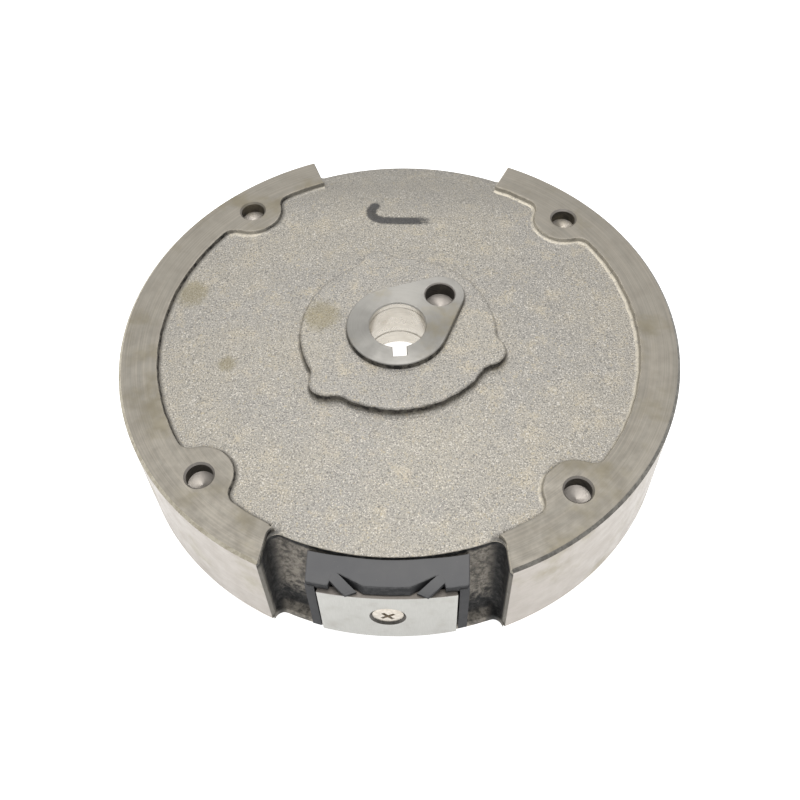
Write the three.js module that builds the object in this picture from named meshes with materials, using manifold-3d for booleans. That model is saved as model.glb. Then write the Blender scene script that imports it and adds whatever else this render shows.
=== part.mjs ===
// Cast-iron flywheel of a small engine, with the magnet assembly that fires its ignition coil.
// Millimetres. The bore axis is Z, the boss side is up, the rim stands on z = 0,
// and the magnet pocket faces -Y.
import * as THREE from 'three';
import { mergeVertices } from 'three/addons/utils/BufferGeometryUtils.js';
import Module from 'manifold-3d';

const wasm = await Module();
wasm.setup();

// Driving dimensions -------------------------------------------------------------------------
const rimRadius = 75;
const rimHeight = 32;
const rimInnerRadius = 62;
const rimDraft = 1.5;
const rimEdgeChamfer = 0.8;
const landInnerRadius = 64.8;
const landStep = 1.5;
const stepSlope = 0.9;
const webRise = 1.4;
const webThickness = 8;
const webFillet = 4;

const earRadius = 8.4;
const earFillet = 4;
const rimHolePitchRadius = 65.3;
const rimHoleRadius = 3.2;
const rimHoleChamfer = 0.5;
const rimHoleDepth = 4.6;

const padRadius = 26.3;
const padHeight = 2.6;
const padLobeRadius = 4.8;
const padLobePitch = 25;
const padLobeAngles = [106, 226, 346];
const padLobeFillet = 5;

const bossRadius = 13.6;
const bossHeight = 4.4;
const bossLobeRadius = 6.7;
const pinHole = { x: 10.9, y: 11.2, radius: 4, chamfer: 0.3, depth: 4.4 };

const hubRadius = 20;
const hubBottom = 18;
const hubDraft = 0.8;
const boreTopRadius = 7.5;
const boreBottomRadius = 9.2;
const boreReliefRadius = 8.95;
const boreReliefHeight = 5;
const boreChamfer = { width: 0.25, depth: 0.3 };
const keyway = { width: 3.7, reach: 10.5, angle: -83 };

const pocket = {
  mouthHalfWidth: 30.1, rootHalfWidth: 27, topRadius: 65.5, bottomRadius: 69, turn: 0.6,
};
const pocketLip = { radius: 71.9, height: 1.8 };
const rearNotch = { halfAngle: 23.8, radius: 68.5 };

const frontTurn = 1.2;
const seatGap = 0.3;
const plate = { halfAngle: 12.7, thickness: 2, bottom: 6.3, top: 27.4, holeRadius: 2.8 };
const countersink = { radius: 4.5, depth: 1.7 };
const screw = {
  height: 17.8, headRadius: 3.75, headSink: 0.25, headDepth: 1.6, shankRadius: 2.5, length: 15.4,
};
const phillips = { span: 4, width: 0.9, depth: 1.1 };
const screwBoss = { halfWidth: 8, bottom: 7, innerRadius: 56.5, floor: 1.5 };
const holder = {
  halfWidth: 19.1, sweep: 18, bottom: 6.2, top: 29.9, faceInset: 0.4, lidInset: 1.8, lidThickness: 2.1,
};
const finger = { centre: 8.6, width: 3.1, slot: 1.6, rootRadius: 70.4 };
const magnetSize = { halfWidth: 13.2, backRadius: 70, bottom: 8.5, top: 25.5, holeRadius: 3.4 };

// Segments in a full turn: the rim, the bore and hub, and the small holes.
const fine = 120;
const medium = 48;
const small = 24;

const webTop = rimHeight - landStep;
const webBottom = webTop - webThickness;
const bossTop = rimHeight + bossHeight;
const padTop = rimHeight + padHeight;
const webEdgeRadius = landInnerRadius - stepSlope / 2;
const pocketRootReach = 52;
const overshoot = 5;
const buried = 1;
const rad = THREE.MathUtils.degToRad;

// Solids -------------------------------------------------------------------------------------
function toSolid(geometry) {
  const bare = geometry.clone();
  bare.deleteAttribute('normal');
  bare.deleteAttribute('uv');
  const merged = mergeVertices(bare, 1e-4);
  const corners = Array.from(merged.index.array);
  const kept = [];
  for (let i = 0; i < corners.length; i += 3) {
    const [a, b, c] = corners.slice(i, i + 3);
    if (a !== b && b !== c && c !== a) kept.push(a, b, c);
  }
  return new wasm.Manifold(new wasm.Mesh({
    numProp: 3,
    vertProperties: new Float32Array(merged.attributes.position.array),
    triVerts: new Uint32Array(kept),
  }));
}

function toMesh(name, solid, look) {
  const raw = solid.getMesh();
  const geometry = new THREE.BufferGeometry();
  geometry.setAttribute('position', new THREE.BufferAttribute(raw.vertProperties, 3));
  geometry.setIndex(new THREE.BufferAttribute(raw.triVerts, 1));
  const faceted = geometry.toNonIndexed();
  faceted.computeVertexNormals();
  const mesh = new THREE.Mesh(faceted, new THREE.MeshStandardMaterial(look));
  mesh.name = name;
  return mesh;
}

// Turns an outline of [radius, z] points, listed anticlockwise with Z up, about the Z axis.
function revolve(outline, segments = fine) {
  const points = [...outline, outline[0]].map(([r, z]) => new THREE.Vector2(r, z));
  const geometry = new THREE.LatheGeometry(points, segments);
  geometry.rotateX(Math.PI / 2);
  geometry.rotateZ(Math.PI / 2);
  return toSolid(geometry);
}

function prism(shape, bottom, top, curveSegments = small) {
  const points = shape.getPoints(curveSegments);
  const apart = points.filter((point, i) => point.distanceTo(points.at(i - 1)) > 0.01);
  const geometry = new THREE.ExtrudeGeometry(new THREE.Shape(apart), {
    depth: top - bottom,
    bevelEnabled: false,
  });
  geometry.translate(0, 0, bottom);
  return toSolid(geometry);
}

// A box that reaches outward along -Y, from one distance from the axis to another.
function radialBox(halfWidth, innerRadius, outerRadius, bottom, top) {
  const geometry = new THREE.BoxGeometry(2 * halfWidth, outerRadius - innerRadius, top - bottom);
  geometry.translate(0, -(innerRadius + outerRadius) / 2, (bottom + top) / 2);
  return toSolid(geometry);
}

// A ring sector centred on -Y.
function sector(innerRadius, outerRadius, halfAngle, bottom, top) {
  const from = -Math.PI / 2 - rad(halfAngle);
  const to = -Math.PI / 2 + rad(halfAngle);
  const shape = new THREE.Shape();
  shape.absarc(0, 0, outerRadius, from, to, false);
  shape.absarc(0, 0, innerRadius, to, from, true);
  return prism(shape, bottom, top, small);
}

// A drilled, chamfered, blind hole with a 118 degree point, as the solid that is removed.
function drill(x, y, top, radius, chamfer, depth) {
  const point = radius / Math.tan(rad(59));
  const tool = revolve([
    [0, top - depth - point],
    [radius, top - depth],
    [radius, top - chamfer],
    [radius + chamfer, top],
    [radius + chamfer, top + overshoot],
    [0, top + overshoot],
  ], small);
  return tool.translate([x, y, 0]);
}

// Casting ------------------------------------------------------------------------------------
function wheelBody() {
  const inner = rimInnerRadius;
  const roof = webBottom;
  const fillet = [0, 30, 60, 90].map((turn) => [
    inner - rimDraft - webFillet * (1 - Math.cos(rad(turn))),
    roof - webFillet * (1 - Math.sin(rad(turn))),
  ]);
  return revolve([
    [0, roof],
    [0, webTop + webRise],
    [padRadius, webTop + webRise],
    [webEdgeRadius, webTop],
    [webEdgeRadius + stepSlope, rimHeight],
    [rimRadius - rimEdgeChamfer, rimHeight],
    [rimRadius, rimHeight - rimEdgeChamfer],
    [rimRadius, rimEdgeChamfer],
    [rimRadius - rimEdgeChamfer, 0],
    [inner, 0],
    ...fillet,
  ].reverse());
}

// One ear: a round pad about a rim hole, blended into the land by two concave arcs.
function ear() {
  const blendPitch = earRadius + earFillet;
  const arcRadius = landInnerRadius - earFillet;
  const reach = rimHolePitchRadius;
  const cosine = (reach ** 2 + arcRadius ** 2 - blendPitch ** 2) / (2 * reach * arcRadius);
  const blendAngle = Math.acos(cosine);
  const blendX = arcRadius * Math.cos(blendAngle);
  const blendY = arcRadius * Math.sin(blendAngle);
  const towardsHole = Math.atan2(-blendY, reach - blendX);
  const outerX = (landInnerRadius + 3) * Math.cos(blendAngle);
  const outerY = (landInnerRadius + 3) * Math.sin(blendAngle);
  const shape = new THREE.Shape();
  shape.moveTo(outerX, -outerY);
  shape.lineTo(outerX, outerY);
  shape.absarc(blendX, blendY, earFillet, blendAngle, towardsHole, true);
  shape.absarc(reach, 0, earRadius, Math.PI + towardsHole, Math.PI - towardsHole, false);
  shape.absarc(blendX, -blendY, earFillet, -towardsHole, -blendAngle, true);
  return prism(shape, webTop - 2, rimHeight, 10);
}

// A disc with round lobes, each blended in by two concave arcs.
function lobedDisc(radius, lobes, bottom, top) {
  const outline = [];
  for (const lobe of lobes) {
    const ring = radius + lobe.fillet;
    const blendPitch = lobe.radius + lobe.fillet;
    const half = Math.acos((lobe.pitch ** 2 + ring ** 2 - blendPitch ** 2) / (2 * lobe.pitch * ring));
    const ears = [-1, 1].map((side) => {
      const angle = lobe.angle + side * half;
      return { x: ring * Math.cos(angle), y: ring * Math.sin(angle), angle };
    });
    outline.push({ lobe, ears });
  }
  const shape = new THREE.Shape();
  for (const { lobe, ears } of outline) {
    const centre = { x: lobe.pitch * Math.cos(lobe.angle), y: lobe.pitch * Math.sin(lobe.angle) };
    const [first, last] = ears;
    const inward = (ear) => Math.atan2(centre.y - ear.y, centre.x - ear.x);
    shape.absarc(first.x, first.y, lobe.fillet, first.angle + Math.PI, inward(first), true);
    shape.absarc(centre.x, centre.y, lobe.radius, inward(first) + Math.PI, inward(last) + Math.PI, false);
    shape.absarc(last.x, last.y, lobe.fillet, inward(last), last.angle + Math.PI, true);
    const next = outline[(outline.findIndex((item) => item.lobe === lobe) + 1) % outline.length];
    shape.absarc(0, 0, radius, last.angle, next.ears[0].angle, false);
  }
  return prism(shape, bottom, top, 12);
}

function pad() {
  const lobes = padLobeAngles.map((degrees) => ({
    angle: rad(degrees),
    pitch: padLobePitch,
    radius: padLobeRadius,
    fillet: padLobeFillet,
  }));
  return lobedDisc(padRadius, lobes, webBottom + buried, padTop);
}

// The machined boss: the hull of a disc about the bore and a smaller one about the pin hole.
function boss() {
  const distance = Math.hypot(pinHole.x, pinHole.y);
  const heading = Math.atan2(pinHole.y, pinHole.x);
  const tangent = Math.acos((bossRadius - bossLobeRadius) / distance);
  const shape = new THREE.Shape();
  shape.absarc(0, 0, bossRadius, heading + tangent, heading - tangent + 2 * Math.PI, false);
  shape.absarc(pinHole.x, pinHole.y, bossLobeRadius, heading - tangent, heading + tangent, false);
  return prism(shape, webBottom + buried, bossTop, 32);
}

function hub() {
  return revolve([
    [0, hubBottom],
    [hubRadius - hubDraft, hubBottom],
    [hubRadius, webBottom - 2],
    [hubRadius + 2, webBottom],
    [hubRadius + 2, webBottom + buried],
    [0, webBottom + buried],
  ], medium);
}

function bore() {
  const slope = (boreBottomRadius - boreTopRadius) / (bossTop - hubBottom);
  const reliefTop = hubBottom + boreReliefHeight;
  return revolve([
    [0, hubBottom - overshoot],
    [boreReliefRadius, hubBottom - overshoot],
    [boreReliefRadius, reliefTop - 0.5],
    [boreBottomRadius - slope * boreReliefHeight, reliefTop],
    [boreTopRadius, bossTop - boreChamfer.depth],
    [boreTopRadius + boreChamfer.width, bossTop],
    [boreTopRadius + boreChamfer.width, bossTop + overshoot],
    [0, bossTop + overshoot],
  ], medium);
}

function keywaySlot() {
  const slot = radialBox(
    keyway.width / 2, 0, keyway.reach, hubBottom - overshoot, bossTop + overshoot,
  );
  return slot.rotate([0, 0, keyway.angle + 90]);
}

// The iron behind the pocket: a drafted wall with a low lip at its foot, and the web above it.
// A positive gap gives the same outline standing clear of the iron.
function pocketBackWall(gap) {
  return revolve([
    [0, -overshoot],
    [pocketLip.radius + gap, -overshoot],
    [pocketLip.radius + gap, pocketLip.height + gap],
    [pocket.bottomRadius + gap, pocketLip.height + gap + 0.6],
    [pocket.topRadius + gap, webTop],
    [webEdgeRadius, webTop],
    [webEdgeRadius, rimHeight + 2 * overshoot],
    [0, rimHeight + 2 * overshoot],
  ]);
}

function pocketSpace() {
  const shape = new THREE.Shape();
  shape.moveTo(-pocket.mouthHalfWidth, -rimRadius - overshoot);
  shape.lineTo(pocket.mouthHalfWidth, -rimRadius - overshoot);
  shape.lineTo(pocket.rootHalfWidth, -pocketRootReach);
  shape.lineTo(-pocket.rootHalfWidth, -pocketRootReach);
  shape.closePath();
  const opening = prism(shape, -overshoot / 2, rimHeight + overshoot);
  return opening.subtract(pocketBackWall(0)).rotate([0, 0, pocket.turn]);
}

function rearNotchSpace() {
  const { radius, halfAngle } = rearNotch;
  const clear = rimRadius + overshoot;
  const above = rimHeight + overshoot;
  const deep = sector(radius, clear, halfAngle, -overshoot, above);
  const aboveWeb = sector(webEdgeRadius, clear, halfAngle, webTop, above);
  return deep.add(aboveWeb).rotate([0, 0, 180]);
}

// The thickened wall behind the pocket that takes the pole screw's thread.
function threadBoss() {
  return radialBox(
    screwBoss.halfWidth, screwBoss.innerRadius, rimInnerRadius + buried,
    screwBoss.bottom, webBottom + buried,
  ).rotate([0, 0, frontTurn]);
}

function screwHole() {
  const tool = revolve([
    [0, screwBoss.innerRadius + screwBoss.floor],
    [screw.shankRadius + seatGap, screwBoss.innerRadius + screwBoss.floor],
    [screw.shankRadius + seatGap, rimRadius],
    [0, rimRadius],
  ], small);
  return outward(tool);
}

// Lays a solid that was built along +Z so that it points outward through the pole screw's place.
function outward(solid) {
  return solid.rotate([90, 0, 0]).translate([0, 0, screw.height]).rotate([0, 0, frontTurn]);
}

function casting() {
  let solid = wheelBody().add(hub()).add(pad()).add(boss()).add(threadBoss());
  const places = [45, 135, 225, 315].map(rad);
  for (const angle of places) {
    solid = solid.add(ear().rotate([0, 0, THREE.MathUtils.radToDeg(angle)]));
  }
  for (const angle of places) {
    const x = rimHolePitchRadius * Math.cos(angle);
    const y = rimHolePitchRadius * Math.sin(angle);
    solid = solid.subtract(drill(x, y, rimHeight, rimHoleRadius, rimHoleChamfer, rimHoleDepth));
  }
  const pin = drill(pinHole.x, pinHole.y, bossTop, pinHole.radius, pinHole.chamfer, pinHole.depth);
  return solid
    .subtract(pin)
    .subtract(bore())
    .subtract(keywaySlot())
    .subtract(pocketSpace())
    .subtract(rearNotchSpace())
    .subtract(screwHole());
}

// Magnet assembly ----------------------------------------------------------------------------
function polePlate() {
  const inner = rimRadius - plate.thickness;
  const blank = sector(inner, rimRadius, plate.halfAngle, plate.bottom, plate.top);
  const hole = revolve([
    [0, inner - overshoot],
    [plate.holeRadius, inner - overshoot],
    [plate.holeRadius, rimRadius - countersink.depth],
    [countersink.radius, rimRadius],
    [countersink.radius, rimRadius + overshoot],
    [0, rimRadius + overshoot],
  ], small);
  return blank.rotate([0, 0, frontTurn]).subtract(outward(hole));
}

function poleScrew() {
  const face = rimRadius - screw.headSink;
  const blank = revolve([
    [0, face - screw.length],
    [screw.shankRadius, face - screw.length],
    [screw.shankRadius, face - screw.headDepth],
    [screw.headRadius, face - 0.2],
    [screw.headRadius - 0.3, face],
    [0, face],
  ], small);
  const slot = new THREE.BoxGeometry(phillips.span, phillips.width, 2 * phillips.depth);
  slot.translate(0, 0, face);
  const crossSlot = slot.clone();
  crossSlot.rotateZ(Math.PI / 2);
  return outward(blank.subtract(toSolid(slot)).subtract(toSolid(crossSlot)));
}

// A moulded frame: a lid on top, two side walls that flank the pole plate, and a back and a floor
// round the magnet.
function magnetHolder() {
  const outer = rimRadius - holder.faceInset;
  const front = rimRadius - holder.lidInset;
  const plateBack = rimRadius - plate.thickness - seatGap;
  const filled = sector(pocket.topRadius, outer, holder.sweep, holder.bottom, holder.top);
  const sides = radialBox(
    holder.halfWidth, pocketRootReach, rimRadius + overshoot, holder.bottom, holder.top,
  );
  const block = filled.intersect(sides).subtract(pocketBackWall(seatGap));
  const plateRoom = sector(
    plateBack, rimRadius + overshoot, plate.halfAngle + 0.25, 0, plate.top + seatGap,
  );
  const magnetRoom = sector(
    magnetSize.backRadius, rimRadius, plate.halfAngle + 0.25,
    magnetSize.bottom - seatGap, plate.top + seatGap,
  );
  const aboveLid = sector(
    front, rimRadius + overshoot, holder.sweep, plate.top + seatGap, holder.top + 1,
  );
  const lidHollow = sector(
    magnetSize.backRadius + 0.8, plateBack, plate.halfAngle - 1,
    plate.top - 1, holder.top - holder.lidThickness,
  );
  let solid = block
    .subtract(plateRoom)
    .subtract(magnetRoom)
    .subtract(aboveLid)
    .subtract(lidHollow);
  for (const side of [-1, 1]) {
    solid = solid.subtract(fingerSlot(side));
  }
  for (const side of [-1, 1]) {
    solid = solid.add(clipFinger(side));
  }
  const clearance = revolve([
    [0, pocketRootReach],
    [screw.shankRadius + seatGap, pocketRootReach],
    [screw.shankRadius + seatGap, rimRadius + overshoot],
    [0, rimRadius + overshoot],
  ], small);
  return solid.rotate([0, 0, frontTurn]).subtract(outward(clearance));
}

function fingerSlot(side) {
  const centre = side * (finger.centre - (finger.width + finger.slot) / 2);
  const slot = radialBox(
    finger.slot / 2, finger.rootRadius, rimRadius + overshoot, plate.top - 1, holder.top + 1,
  );
  return slot.translate([centre, 0, 0]);
}

// A springy finger that leaves the lid and bears on the pole plate's top edge.
function clipFinger(side) {
  const low = plate.top + seatGap;
  const profile = new THREE.Shape();
  profile.moveTo(finger.rootRadius - 0.5, holder.top - holder.lidThickness);
  profile.lineTo(finger.rootRadius + 1.5, holder.top - holder.lidThickness);
  profile.lineTo(rimRadius - 2.6, low);
  profile.lineTo(rimRadius - 0.5, low);
  profile.lineTo(rimRadius - 0.8, low + 0.7);
  profile.quadraticCurveTo(rimRadius - 2, holder.top - 0.1, finger.rootRadius - 0.5, holder.top);
  profile.closePath();
  const solid = prism(profile, -finger.width / 2, finger.width / 2, 6);
  return solid.rotate([90, 0, 0]).rotate([0, 0, -90]).translate([side * finger.centre, 0, 0]);
}

function magnet() {
  const front = rimRadius - plate.thickness - seatGap;
  const block = radialBox(
    magnetSize.halfWidth, magnetSize.backRadius + seatGap, rimRadius, magnetSize.bottom, magnetSize.top,
  );
  const reach = sector(rimInnerRadius, front, holder.sweep, 0, rimHeight);
  const hole = revolve([
    [0, rimInnerRadius],
    [magnetSize.holeRadius, rimInnerRadius],
    [magnetSize.holeRadius, rimRadius],
    [0, rimRadius],
  ], small);
  return block.intersect(reach).rotate([0, 0, frontTurn]).subtract(outward(hole));
}

// Assembly -----------------------------------------------------------------------------------
const flywheel = new THREE.Group();
flywheel.add(
  toMesh('flywheel_casting', casting(), { color: 0xb4aea2, roughness: 0.75, metalness: 0.4 }),
  toMesh('magnet_holder', magnetHolder(), { color: 0x6b6c6e, roughness: 0.6, metalness: 0 }),
  toMesh('magnet', magnet(), { color: 0x2e2e30, roughness: 0.8, metalness: 0.1 }),
  toMesh('pole_plate', polePlate(), { color: 0xd0d1cf, roughness: 0.35, metalness: 0.9 }),
  toMesh('pole_screw', poleScrew(), { color: 0xd6cfc4, roughness: 0.3, metalness: 0.9 }),
);

export default flywheel;
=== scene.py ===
"""Looks of a small-engine flywheel: a cast-iron wheel with a magnet assembly in its rim pocket."""

import math

import bmesh
import bpy
import numpy as np
from mathutils import Matrix, Vector, noise


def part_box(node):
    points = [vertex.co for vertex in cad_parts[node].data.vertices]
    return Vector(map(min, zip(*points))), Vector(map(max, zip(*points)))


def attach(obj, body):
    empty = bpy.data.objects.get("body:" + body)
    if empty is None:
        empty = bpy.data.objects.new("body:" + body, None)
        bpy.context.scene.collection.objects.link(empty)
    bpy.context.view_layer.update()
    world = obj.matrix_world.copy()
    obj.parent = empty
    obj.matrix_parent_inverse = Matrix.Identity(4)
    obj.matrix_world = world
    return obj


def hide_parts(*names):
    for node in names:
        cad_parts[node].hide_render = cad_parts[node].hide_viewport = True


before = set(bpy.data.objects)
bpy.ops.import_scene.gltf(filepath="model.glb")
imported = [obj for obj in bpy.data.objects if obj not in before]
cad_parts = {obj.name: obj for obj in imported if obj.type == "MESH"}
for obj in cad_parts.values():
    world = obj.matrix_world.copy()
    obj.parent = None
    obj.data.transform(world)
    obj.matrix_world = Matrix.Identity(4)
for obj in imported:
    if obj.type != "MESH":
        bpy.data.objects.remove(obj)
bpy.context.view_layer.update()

MM = 0.001

# Driving dimensions, in millimetres. The bore axis is Z, the rim stands on z = 0 -----------------
rim_radius = round(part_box("flywheel_casting")[1].x / MM, 2)
boss_top = round(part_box("flywheel_casting")[1].z / MM, 2)
screw_height = round((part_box("pole_screw")[0].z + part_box("pole_screw")[1].z) / 2 / MM, 2)
plate_bottom, plate_top = (round(corner.z / MM, 2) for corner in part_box("pole_plate"))
holder_bottom, holder_top = (round(corner.z / MM, 2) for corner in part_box("magnet_holder"))

rim_height = 32.0
rim_inner_radius = 62.0
rim_draft = 1.4
rim_chamfer = 0.8
land_inner_radius = 64.8
land_step = 1.5
web_rise = 1.4
web_bottom = 22.5
pad_radius = 26.3
pad_top = 34.6
hub_radius = 20.0
hub_bottom = 18.0
bore_top_radius = 7.5
bore_bottom_radius = 8.55
relief_radius = 8.65
bore_step = hub_bottom + 5.0
bore_chamfer = {"width": 0.25, "depth": 0.3}

web_edge = rim_height - land_step
hole_places = [math.radians(turn) for turn in (45, 135, 225, 315)]
hole_pitch = 65.3
ears = {"base": land_inner_radius, "side": -1, "at": hole_places, "pitch": hole_pitch,
        "lobe": 8.4, "fillet": 4.0}
pad_lobes = {"base": pad_radius, "side": 1, "at": [math.radians(turn) for turn in (106, 226, 346)],
             "pitch": 25.0, "lobe": 4.8, "fillet": 5.0}
pad_edge = {"rounding": 0.7, "fillet": 0.6}
boss_radius = 13.6
boss_lobe_radius = 6.7
pin_place = Vector((10.9, 11.1))
pin_hole = {"radius": 4.0, "chamfer": 0.3, "depth": 4.4}
rim_hole = {"radius": 3.4, "chamfer": 0.5, "depth": 3.6}
screw_hole_radius = 2.8
thick_wall = {"half_width": 10.5, "flank": 3.5, "foot": 6.2, "rise": 2.2, "depth": 4.6}
keyway_half_width = 1.85
keyway_reach = 10.5
keyway_angle = math.radians(-83)

front_turn = math.radians(1.2)
front_angle = -math.pi / 2 + front_turn
rear_angle = math.pi / 2
pocket_angle = -math.pi / 2 + math.radians(0.6)
pocket_wall = (Vector((26.9, -52.0)), Vector((30.5, -80.0)))
rear_half_angle = math.radians(23.8)
rear_wall = tuple(Vector((d * math.sin(rear_half_angle), -d * math.cos(rear_half_angle)))
                  for d in (52.0, 95.0))
pocket_top, pocket_foot = 65.5, 69.0
plate_half_angle = math.radians(12.7)
plate_thickness = 2.0
plate_dip = 0.45
holder_half_width = 19.1
lid_bottom = holder_top - 2.1


# Meshes -----------------------------------------------------------------------------------------
def mesh_object(name, points, faces, materials, indices=None):
    """A new object from points in millimetres."""
    mesh = bpy.data.meshes.new(name)
    mesh.from_pydata([tuple(p) for p in np.asarray(points, float) * MM], [], faces)
    for material in materials:
        mesh.materials.append(material)
    if indices is not None:
        mesh.polygons.foreach_set("material_index", indices)
    mesh.update()
    made = bpy.data.objects.new(name, mesh)
    bpy.context.scene.collection.objects.link(made)
    return made


def skin(name, loops, materials, indices=None):
    """A closed mesh through loops of equal length, with a flat cap at each end."""
    count = len(loops[0])
    points = np.concatenate([np.asarray(loop, float) for loop in loops])
    faces = []
    for row in range(len(loops) - 1):
        for k in range(count):
            after = (k + 1) % count
            low, high = row * count, (row + 1) * count
            faces.append((low + k, low + after, high + after, high + k))
    last = (len(loops) - 1) * count
    faces.append(tuple(reversed(range(count))))
    faces.append(tuple(range(last, last + count)))
    made = mesh_object(name, points, faces, materials, indices)
    face_outward(made)
    return made


def face_outward(piece):
    work = bmesh.new()
    work.from_mesh(piece.data)
    bmesh.ops.recalc_face_normals(work, faces=work.faces)
    work.to_mesh(piece.data)
    work.free()


def at_height(outline, height):
    """A flat outline as a loop of points at one height."""
    outline = np.asarray(outline, float)
    return np.column_stack([outline, np.full(len(outline), height)])


def circle(radius, count=64, centre=(0.0, 0.0)):
    turn = np.arange(count) * 2 * math.pi / count
    return np.column_stack([centre[0] + radius * np.cos(turn), centre[1] + radius * np.sin(turn)])


def drill(centre, top, radius, chamfer, depth):
    """The cutter of a chamfered blind hole with a shallow conical floor."""
    tip = (radius - 0.25) / math.tan(math.radians(74))
    steps = [(radius + chamfer + 0.6, top + 0.6), (radius, top - chamfer),
             (radius, top - depth), (0.25, top - depth - tip)]
    loops = [at_height(circle(r, centre=centre), z) for r, z in steps]
    count = len(loops[0])
    # The walls take the darker steel of painted shade. The chamfer and the floor take the rim's steel.
    indices = [1] * count + [0] * count + [1] * (count + 2)
    return skin("cut_hole", loops, [shaded_hole_steel, rim_steel], indices)


def turned(name, profile, material, count=64):
    """A solid turned about Z from (radius, height) steps that run from one end to the other."""
    return skin(name, [at_height(circle(r, count), z) for r, z in profile], [material])


def combine(piece, other, operation):
    """Joins another closed mesh to the piece, or cuts it away, and removes the other object."""
    change = piece.modifiers.new("combine", "BOOLEAN")
    change.operation = operation
    change.object = other
    change.solver = "EXACT"
    change.material_mode = "TRANSFER"
    bpy.context.view_layer.update()
    graph = bpy.context.evaluated_depsgraph_get()
    result = bpy.data.meshes.new_from_object(piece.evaluated_get(graph))
    piece.modifiers.clear()
    piece.data = result
    bpy.data.objects.remove(other)


def shade(piece, sharp_degrees=32):
    """Smooth shading that keeps edges sharper than an angle, with large faces kept flat."""
    piece.data.shade_smooth()
    piece.data.set_sharp_from_angle(angle=math.radians(sharp_degrees))
    weighted = piece.modifiers.new("weighted_normal", "WEIGHTED_NORMAL")
    weighted.keep_sharp = True


def outward(piece):
    """Lays a piece that was built along +Z so that it points out through the pole screw's place."""
    lay = Matrix.Rotation(front_turn, 4, "Z") @ Matrix.Translation((0, 0, screw_height * MM))
    piece.data.transform(lay @ Matrix.Rotation(math.pi / 2, 4, "X"))


def show(piece, slot, *nodes):
    """Puts a finished piece in the object in place of its CAD nodes."""
    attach(piece, "root")
    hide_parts(*nodes)


# Outlines about the axis ------------------------------------------------------------------------
def arc(centre, radius, start, end, count=14):
    """Points on an arc, taken the short way round."""
    swing = (end - start + math.pi) % (2 * math.pi) - math.pi
    turn = start + np.linspace(0, swing, count)
    return np.column_stack([centre[0] + radius * np.cos(turn), centre[1] + radius * np.sin(turn)])


def polar(points):
    return np.arctan2(points[:, 1], points[:, 0]), np.hypot(points[:, 0], points[:, 1])


def angle_from(angles, places):
    """Each angle's distance from the nearest of some places."""
    apart = [np.abs((angles - place + math.pi) % (2 * math.pi) - math.pi) for place in places]
    return np.min(apart, axis=0)


def lobed_radius(angles, shape, grow):
    """Distance from the axis to a circle with round lobes, its outline moved out of the metal."""
    side, pitch = shape["side"], shape["pitch"]
    ring = shape["base"] + side * shape["fillet"]
    apart = shape["lobe"] + shape["fillet"]
    half = math.acos((pitch ** 2 + ring ** 2 - apart ** 2) / (2 * pitch * ring))
    blend = (ring * math.cos(half), ring * math.sin(half))
    to_blend = math.atan2(blend[1], blend[0] - pitch)
    crown = arc((pitch, 0.0), shape["lobe"] + grow, 0.0 if side > 0 else math.pi, to_blend)
    towards_base = half + math.pi if side > 0 else half
    hollow = arc(blend, shape["fillet"] - grow, to_blend + math.pi, towards_base)
    around, radius = polar(np.concatenate([crown, hollow]))
    return np.interp(angle_from(angles, shape["at"]), around, radius)


def boss_outline(angles, grow):
    """Distance from the axis to the hull of the boss disc and the smaller disc about the pin."""
    distance = pin_place.length
    heading = math.atan2(pin_place.y, pin_place.x)
    tangent = math.acos((boss_radius - boss_lobe_radius) / distance)
    crown = arc((distance, 0.0), boss_lobe_radius + grow, 0.0, tangent)
    end = (boss_radius + grow) * np.array([math.cos(tangent), math.sin(tangent)])
    share = np.linspace(0, 1, 14)[1:, None]
    flank = crown[-1] * (1 - share) + end * share
    around, radius = polar(np.concatenate([crown, flank]))
    return np.interp(angle_from(angles, [heading]), around, radius)


def web_height(radius):
    """The web rises slightly towards the hub."""
    span = land_inner_radius - pad_radius
    return web_edge + web_rise * (land_inner_radius - radius) / span


def wall_radius(height):
    """The pocket's back wall leans out towards its foot."""
    return pocket_foot + (pocket_top - pocket_foot) * (height - 3.0) / 27.0


def reach(start, run, radius):
    """How far along a line from its start a given distance from the axis is met."""
    lean = start.dot(run)
    return -lean + math.sqrt(lean ** 2 - start.length_squared + radius ** 2)


def wobble(angles, size, amount, seed):
    """A small, smooth, repeatable unevenness round the wheel."""
    return np.array([amount * noise.noise(Vector((size * math.cos(a), size * math.sin(a), seed)))
                     for a in angles])


# Materials --------------------------------------------------------------------------------------
def srgb(red, green, blue):
    """A colour given as 8-bit sRGB, as linear RGBA."""
    linear = [(c / 255 / 12.92) if c <= 10 else ((c / 255 + 0.055) / 1.055) ** 2.4
              for c in (red, green, blue)]
    return (*linear, 1.0)


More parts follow.
